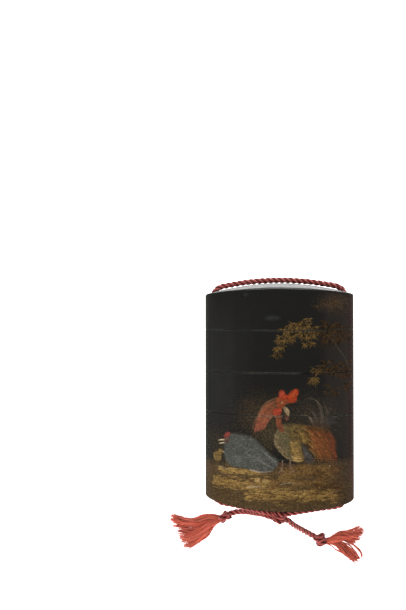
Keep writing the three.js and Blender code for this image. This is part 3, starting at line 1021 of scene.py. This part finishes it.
def paint_neck(art):
    neck = [(-0.9, -6.2), (0.9, -6), (1.3, -8.4), (2.3, -11.4), (1.4, -12), (0.3, -11), (-0.6, -8.8)]
    art.shape(neck, tint(108, 62, 46), strength=0.9, soft=0.5)
    for k in range(9):
        x = -0.7 + 0.22 * k
        art.stroke([(x, -6), (x + 0.2, -9), (x + 0.75, -12.3 + 0.3 * (k % 3))], 0.22,
                   tint(130, 74, 52) * rng.choice((0.45, 0.9, 1.1)), tint(112, 64, 48))
    throat = [(2.6, -5.8), (3.8, -6.1), (4, -7.1), (3.2, -7.6), (2.5, -6.9)]
    art.shape(throat, tint(96, 62, 54), strength=0.85, soft=0.5)


def paint_head(art):
    """The face, the comb with its two lighter lobes, the beak, the wattle and the eye."""
    face = [(-0.6, 0.8), (1.4, 1.2), (3.8, 1.1), (5.6, 0.4), (6.2, -0.6), (4.6, -1.2), (2.8, -1.9),
        (1.6, -3.2), (0.2, -3), (-0.8, -1.2)]
    art.shape(face, tint(128, 68, 42), tint(112, 62, 42))
    comb = [
        (0.5, 0.4), (0.3, 1.8), (0.7, 3.3), (1.6, 3.6), (2.4, 2.9), (3, 1.9), (3.9, 2), (4.6, 3),
        (5.5, 3.6), (6.6, 4), (7.5, 3.6), (7.6, 2.4), (7, 1.2), (6.8, -0.4), (5.8, -1.1), (4.2, -1),
        (3, 0), (1.6, 0),
    ]
    art.shape(comb, tint(150, 58, 36), tint(126, 52, 34), soft=0.3)
    right = [(4.4, 1.2), (5.2, 2.6), (6.6, 3.4), (7, 2.7), (6.4, 1.4), (5.4, 0.5)]
    art.shape(right, tint(164, 74, 44), strength=0.7, soft=0.8)
    left = [(0.9, 1), (0.9, 2.8), (1.7, 2.9), (2.3, 1.8), (2.1, 0.9)]
    art.shape(left, tint(166, 74, 58), strength=0.6, soft=0.8)
    beak = [(1.9, -2.9), (2.9, -2.5), (3.8, -3.4), (4.2, -4.7), (4, -6.2), (3.1, -5.4), (2.3, -4.4)]
    art.shape(beak, tint(160, 140, 108), tint(120, 100, 72), soft=0.25)
    art.stroke([(2.3, -3.3), (3.1, -4.3), (3.8, -5.8)], 0.2, tint(74, 60, 44))
    wattle = [(0.4, -2.8), (1.3, -3.6), (1.2, -5), (0, -6.1), (-1.4, -5.9), (-2, -4.8), (-1.3, -3.4)]
    art.shape(wattle, tint(156, 64, 46), tint(130, 56, 42), soft=0.3)
    art.shape(oval(1.4, -1.1, 0.4, 0.4, 8), tint(158, 112, 88))
    art.shape(oval(1.4, -1.1, 0.12, 0.12, 8), tint(44, 38, 32))


def paint_legs(art):
    """Two legs, below the loose feathers of the belly."""
    skin = tint(128, 104, 86)
    art.fan([(-0.6, -22.6), (-0.1, -24.3), (-0.7, -26.2)], [(5.4, -23.35), (5.9, -24.3), (5.3, -26.2)],
            16, 0.26, tint(104, 80, 60), uneven=(0.6, 1.2), metal=0.3, strength=0.8)
    for x, foot in ((1.6, 1.1), (4.4, 5.2)):
        art.stroke([(x, -22.4), (x, -24.2), (foot, -26)], 0.44, skin, metal=0.3, taper=(0, 0.1))
        for reach in (-1.3, 0.3, 2.2):
            toe = [(foot, -26), (foot + reach * 0.6, -26.5), (foot + reach, -27.2)]
            art.stroke(toe, 0.3, skin, metal=0.3)


def paint_picture():
    """Everything in the order in which it is laid, from the back to the front."""
    art = Picture()
    for paint in (
        paint_dust, paint_bamboo, paint_ground, paint_seam_highlights_and_spots, paint_tail, paint_breast, paint_saddle,
        paint_wing, paint_hackle, paint_legs, paint_neck, paint_head, paint_hen,
    ):
        paint(art)
    paint_chick(art, -23.9, -22.2, 2.1, 1, tint(140, 114, 70))
    paint_chick(art, 21.8, -26.2, 1.9, -1, tint(106, 80, 54))
    paint_seam_highlights_over_figures(art)
    paint_nest(art)
    return art


# --- Materials ---

def lacquer_material():
    """Black lacquer with powder paint in it: cover says how much of the surface holds paint."""
    material = bpy.data.materials.new("lacquer")
    nodes = Nodes(material)
    place = nodes.add("TexCoord").outputs["Object"]
    grain = nodes.add("TexVoronoi", {"Scale": GRAINS, "Vector": place}, feature="F1").outputs["Color"]
    level, fleck, matt = nodes.add("SeparateColor", {"Color": grain}).outputs
    above = nodes.math("SUBTRACT", nodes.math("MULTIPLY", nodes.attribute("cover"), 1.12), level)
    mask = nodes.math("MULTIPLY", above, 9.0, clamp=True)
    lit = nodes.add(
        "VectorMath",
        {0: nodes.attribute("paint", "Color"), "Scale": nodes.span(fleck, 0, 1, 0.72, 1.28)},
        operation="SCALE",
    ).outputs[0]
    black = nodes.mix(nodes.noise(90, 3, place), (0.0035, 0.0033, 0.003, 1), (0.0065, 0.006, 0.0055, 1))
    polish = nodes.span(nodes.noise(260, 4, place), 0.3, 0.7, 0.13, 0.24)
    polish = nodes.math("ADD", polish, nodes.math("MULTIPLY", nodes.attribute("end"), 0.26))
    nodes.set(
        Base_Color=nodes.mix(mask, black, lit),
        Metallic=nodes.math("MULTIPLY", nodes.attribute("metal"), mask),
        Roughness=nodes.mix(mask, polish, nodes.span(matt, 0, 1, 0.34, 0.5), "FLOAT"),
    )
    nodes.bump(mask, 0.25, 0.00002)
    return material


def silk_material(name, dark, light, stripe):
    """Silk yarn: fine fibres run along each strand."""
    material = bpy.data.materials.new(name)
    nodes = Nodes(material)
    streak = nodes.noise(stripe, 3, nodes.attribute("fibre", "Vector"), 0.6)
    colour = nodes.mix(nodes.span(streak, 0.32, 0.68, 0, 1), (*dark, 1), (*light, 1))
    # Painted shade: the colour darkens towards this shadow in the cord's grooves and along the tassels'
    # threads.
    shadow = (*(0.3 * part for part in dark), 1)
    nodes.set(
        Base_Color=nodes.mix(nodes.attribute("painted_shade_and_tone"), colour, shadow),
        Roughness=nodes.span(streak, 0.3, 0.7, 0.5, 0.75),
        Sheen_Weight=0.45,
        Sheen_Roughness=0.4,
        Sheen_Tint=(1.0, 0.72, 0.68, 1),
    )
    nodes.bump(streak, 0.6, 0.00006)
    return material


# --- Pieces ---

def painted_values(points, art):
    """For each point its paint, cover and metal, and 1 where it is on a domed end."""
    x, y, z = points.T
    across, over = np.abs(x) / HALF_WIDTH, np.abs(z) / HALF_DEPTH
    bend = ROUNDNESS / 2
    angle = np.arctan2(np.sign(x) * across ** bend, np.sign(z) * over ** bend)
    colour, cover, metal = art.sample(np.interp(angle, DENSE_ANGLE, DENSE_ROUND), y)
    outside = ramp(across ** ROUNDNESS + over ** ROUNDNESS, 0.955, 0.985)
    return colour, cover * outside, metal, ramp(np.abs(y) - end_height(x, z), -0.45, -0.2)


def add_case_piece(node, rings, art, material, cutters):
    vertices, faces = loft(rings)
    piece = make_piece(node + "_body", vertices + (0, 0, MIDDLE), faces, material)
    cut(piece, cutters)
    points = np.empty(len(piece.data.vertices) * 3)
    piece.data.vertices.foreach_get("co", points)
    points = points.reshape(-1, 3) / MM - (0, 0, MIDDLE)
    for name, values in zip(("paint", "cover", "metal", "end"), painted_values(points, art)):
        set_attribute(piece, name, values)
    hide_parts(node)
    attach(piece, ROOT)


def add_case(art):
    material = lacquer_material()
    cutters = channel_cutters() + [back_cutter()]
    rims = [TOP_SEAM - i * SEAM_PITCH - SEAM_GAP / 2 for i in range(CASE_COUNT + 1)]
    add_case_piece("lid", lid_rings(), art, material, cutters)
    for i in range(CASE_COUNT):
        add_case_piece(f"case_{i + 1}", case_rings(rims[i]), art, material, cutters)
    add_case_piece("base_case", base_case_rings(rims[-1]), art, material, cutters)
    for cutter in cutters:
        bpy.data.objects.remove(cutter)


def cord_route():
    half = BASE_STRAND + [[x, -y] for x, y in BEND] + STRAIGHT + BEND[::-1] + LID_STRAND
    loop = half + [CROWN] + [[-x, y] for x, y in half[::-1]]
    return [
        LEFT_KNOT["place"], *LEFT_TAIL[::-1], BASE_KNOT["place"],
        *[[x, y, MIDDLE] for x, y in loop],
        BASE_KNOT["place"], *RIGHT_TAIL, RIGHT_KNOT["place"],
    ]


def rope_arrays(points):
    """Strands twisted round a centreline. The last array is painted shade, darker in the grooves between the
    strands.
    """
    across, over = frames_along(points)
    tubes = []
    for strand in range(STRANDS):
        turn = 2 * np.pi * (run_along(points) / STRAND_PITCH + strand / STRANDS)
        offset = np.cos(turn)[:, None] * across + np.sin(turn)[:, None] * over
        tubes.append(tube_arrays(points + 0.28 * CORD_DIAMETER * offset, 0.232 * CORD_DIAMETER, STRAND_SIDES))
    vertices, faces, marks = join_tubes(tubes)
    middle = np.tile(np.repeat(points, STRAND_SIDES, axis=0), (STRANDS, 1))
    return vertices, faces, marks, ramp(np.linalg.norm(vertices - middle, axis=1) / CORD_DIAMETER, 0.5, 0.38)


def add_silk(name, nodes, arrays, material):
    vertices, faces, marks, painted_shade_and_tone = arrays
    piece = make_piece(name, vertices, faces, material, 80)
    set_attribute(piece, "fibre", marks * (1.0, 1.0, 0.12))
    set_attribute(piece, "painted_shade_and_tone", painted_shade_and_tone)
    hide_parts(*nodes)
    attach(piece, ROOT)
    return piece


def knot_path(place, heading, shift, tilt, turns):
    """Turns round the long axis, leaning one way and then the other."""
    turn = np.linspace(0, 2 * np.pi * turns, 120)
    share = turn / turn[-1]
    lean = math.tan(math.radians(tilt)) * np.cos(2 * np.pi * share)
    along = shift * (2 * share - 1) + KNOT_TURN_RADIUS * np.cos(turn) * lean
    local = np.stack([along, KNOT_TURN_RADIUS * np.cos(turn), KNOT_TURN_RADIUS * np.sin(turn)], 1)
    return local @ np.array(Matrix.Rotation(math.radians(heading), 3, "Z")).T + np.asarray(place)


def thread_tube(spine, sides, turn, away, crimp, dark, longest):
    """One fine waved thread of a tuft. Its last mark is its shade."""
    across, over = sides
    share = np.linspace(0, min(1, longest * rng.uniform(0.9, 1.03)), THREAD_POINTS)
    at = (share * (len(spine) - 1)).astype(int)
    open_out = 0.32 + 0.68 * np.sin(0.5 * np.pi * np.minimum(1, share / 0.55))
    angle = turn + rng.normal(0, 0.12) + 2.2 * share
    far = (away + rng.normal(0, 0.15)) * open_out + rng.normal(0, 0.3) * share ** 4
    wave = 0.2 * np.sin(crimp + rng.normal(0, 0.3) + 15 * share) * open_out
    line = spine[at] + (far * np.cos(angle) + wave)[:, None] * across[at]
    line += (0.8 * far * np.sin(angle))[:, None] * over[at]
    line[:, 2] = np.maximum(line[:, 2], 0.15)
    vertices, faces, marks = tube_arrays(line, np.linspace(0.14, 0.07, THREAD_POINTS), THREAD_SIDES)
    marks[:, :2] += rng.uniform(-40, 40, 2)
    along = np.repeat(share, THREAD_SIDES)
    # The tuft's own random darkness, with painted shade in bands along the crimp.
    shade = np.clip(dark + 0.16 * np.sin(crimp + 9 * along) + rng.normal(0, 0.08), 0, 0.9)
    return vertices, faces, np.column_stack([marks, shade])


def lock_tubes(spread, threads, *points):
    """Tufts of threads that leave a knot together and open out towards their ends."""
    spine = smooth_curve(points, 0.2)
    sides = frames_along(spine)
    tuft_count = max(3, threads // TUFT_THREADS)
    tubes = []
    for first in range(0, threads, TUFT_THREADS):
        tuft = dict(
            turn=2 * np.pi * rng.random(),
            away=spread * math.sqrt((first // TUFT_THREADS + 0.5) / tuft_count),
            crimp=rng.uniform(0, 2 * np.pi),
            dark=abs(rng.normal(0, 0.28)),
            longest=rng.uniform(0.88, 1.03),
        )
        for _ in range(min(TUFT_THREADS, threads - first)):
            tubes.append(thread_tube(spine, sides, **tuft))
    return tubes


def tassel_arrays(locks):
    vertices, faces, marks = join_tubes([tube for lock in locks for tube in lock_tubes(*lock)])
    return vertices, faces, marks[:, :3], marks[:, 3]


def add_cord():
    silk = silk_material("cord_silk", (0.28, 0.03, 0.026), (0.66, 0.16, 0.14), 2.2)
    floss = silk_material("floss_silk", (0.56, 0.05, 0.028), (0.9, 0.27, 0.17), 0.6)
    route = smooth_curve(cord_route(), CORD_STEP)
    cord = add_silk("cord", ["cord_loop", "tail_left", "tail_right"], rope_arrays(route), silk)
    knots = dict(base_knot=BASE_KNOT, end_knot_left=LEFT_KNOT, end_knot_right=RIGHT_KNOT)
    for name, knot in knots.items():
        path = smooth_curve(knot_path(**knot), 0.25)
        add_silk(name + "_tied", [name], rope_arrays(path), silk)
    for name, locks in (("tassel_left", LEFT_LOCKS), ("tassel_right", RIGHT_LOCKS)):
        add_silk(name + "_threads", [name], tassel_arrays(locks), floss)


bpy.context.scene.view_settings.view_transform = "Standard"
add_camera()
add_world(0.22)
add_floor()
add_softbox("left_box", (-0.9, -0.08, 0.33), (0, 0, 0.015), (0.22, 1.1), 0.12)
add_softbox("left_strip", (-0.76, -0.08, 0.62), (0, 0, 0), (0.12, 1.1), 0.05)
add_softbox("right_box", (0.9, -0.08, 0.3), (0, 0, 0.015), (0.3, 1.1), 0.28, (1, 0.66, 0.5))
add_softbox("foot_box", (0, -0.75, 0.3), (0, 0, 0.015), (0.9, 0.16), 6.0, mirrored=False)
add_softbox("head_box", (0, 0.9, 0.75), (0, 0, 0.015), (0.9, 0.5), 8.0)
add_softbox("fill_box", (-0.5, -0.2, 0.8), (0, 0, 0.015), (0.5, 0.5), 4.0, mirrored=False)
add_cord()
add_case(paint_picture())
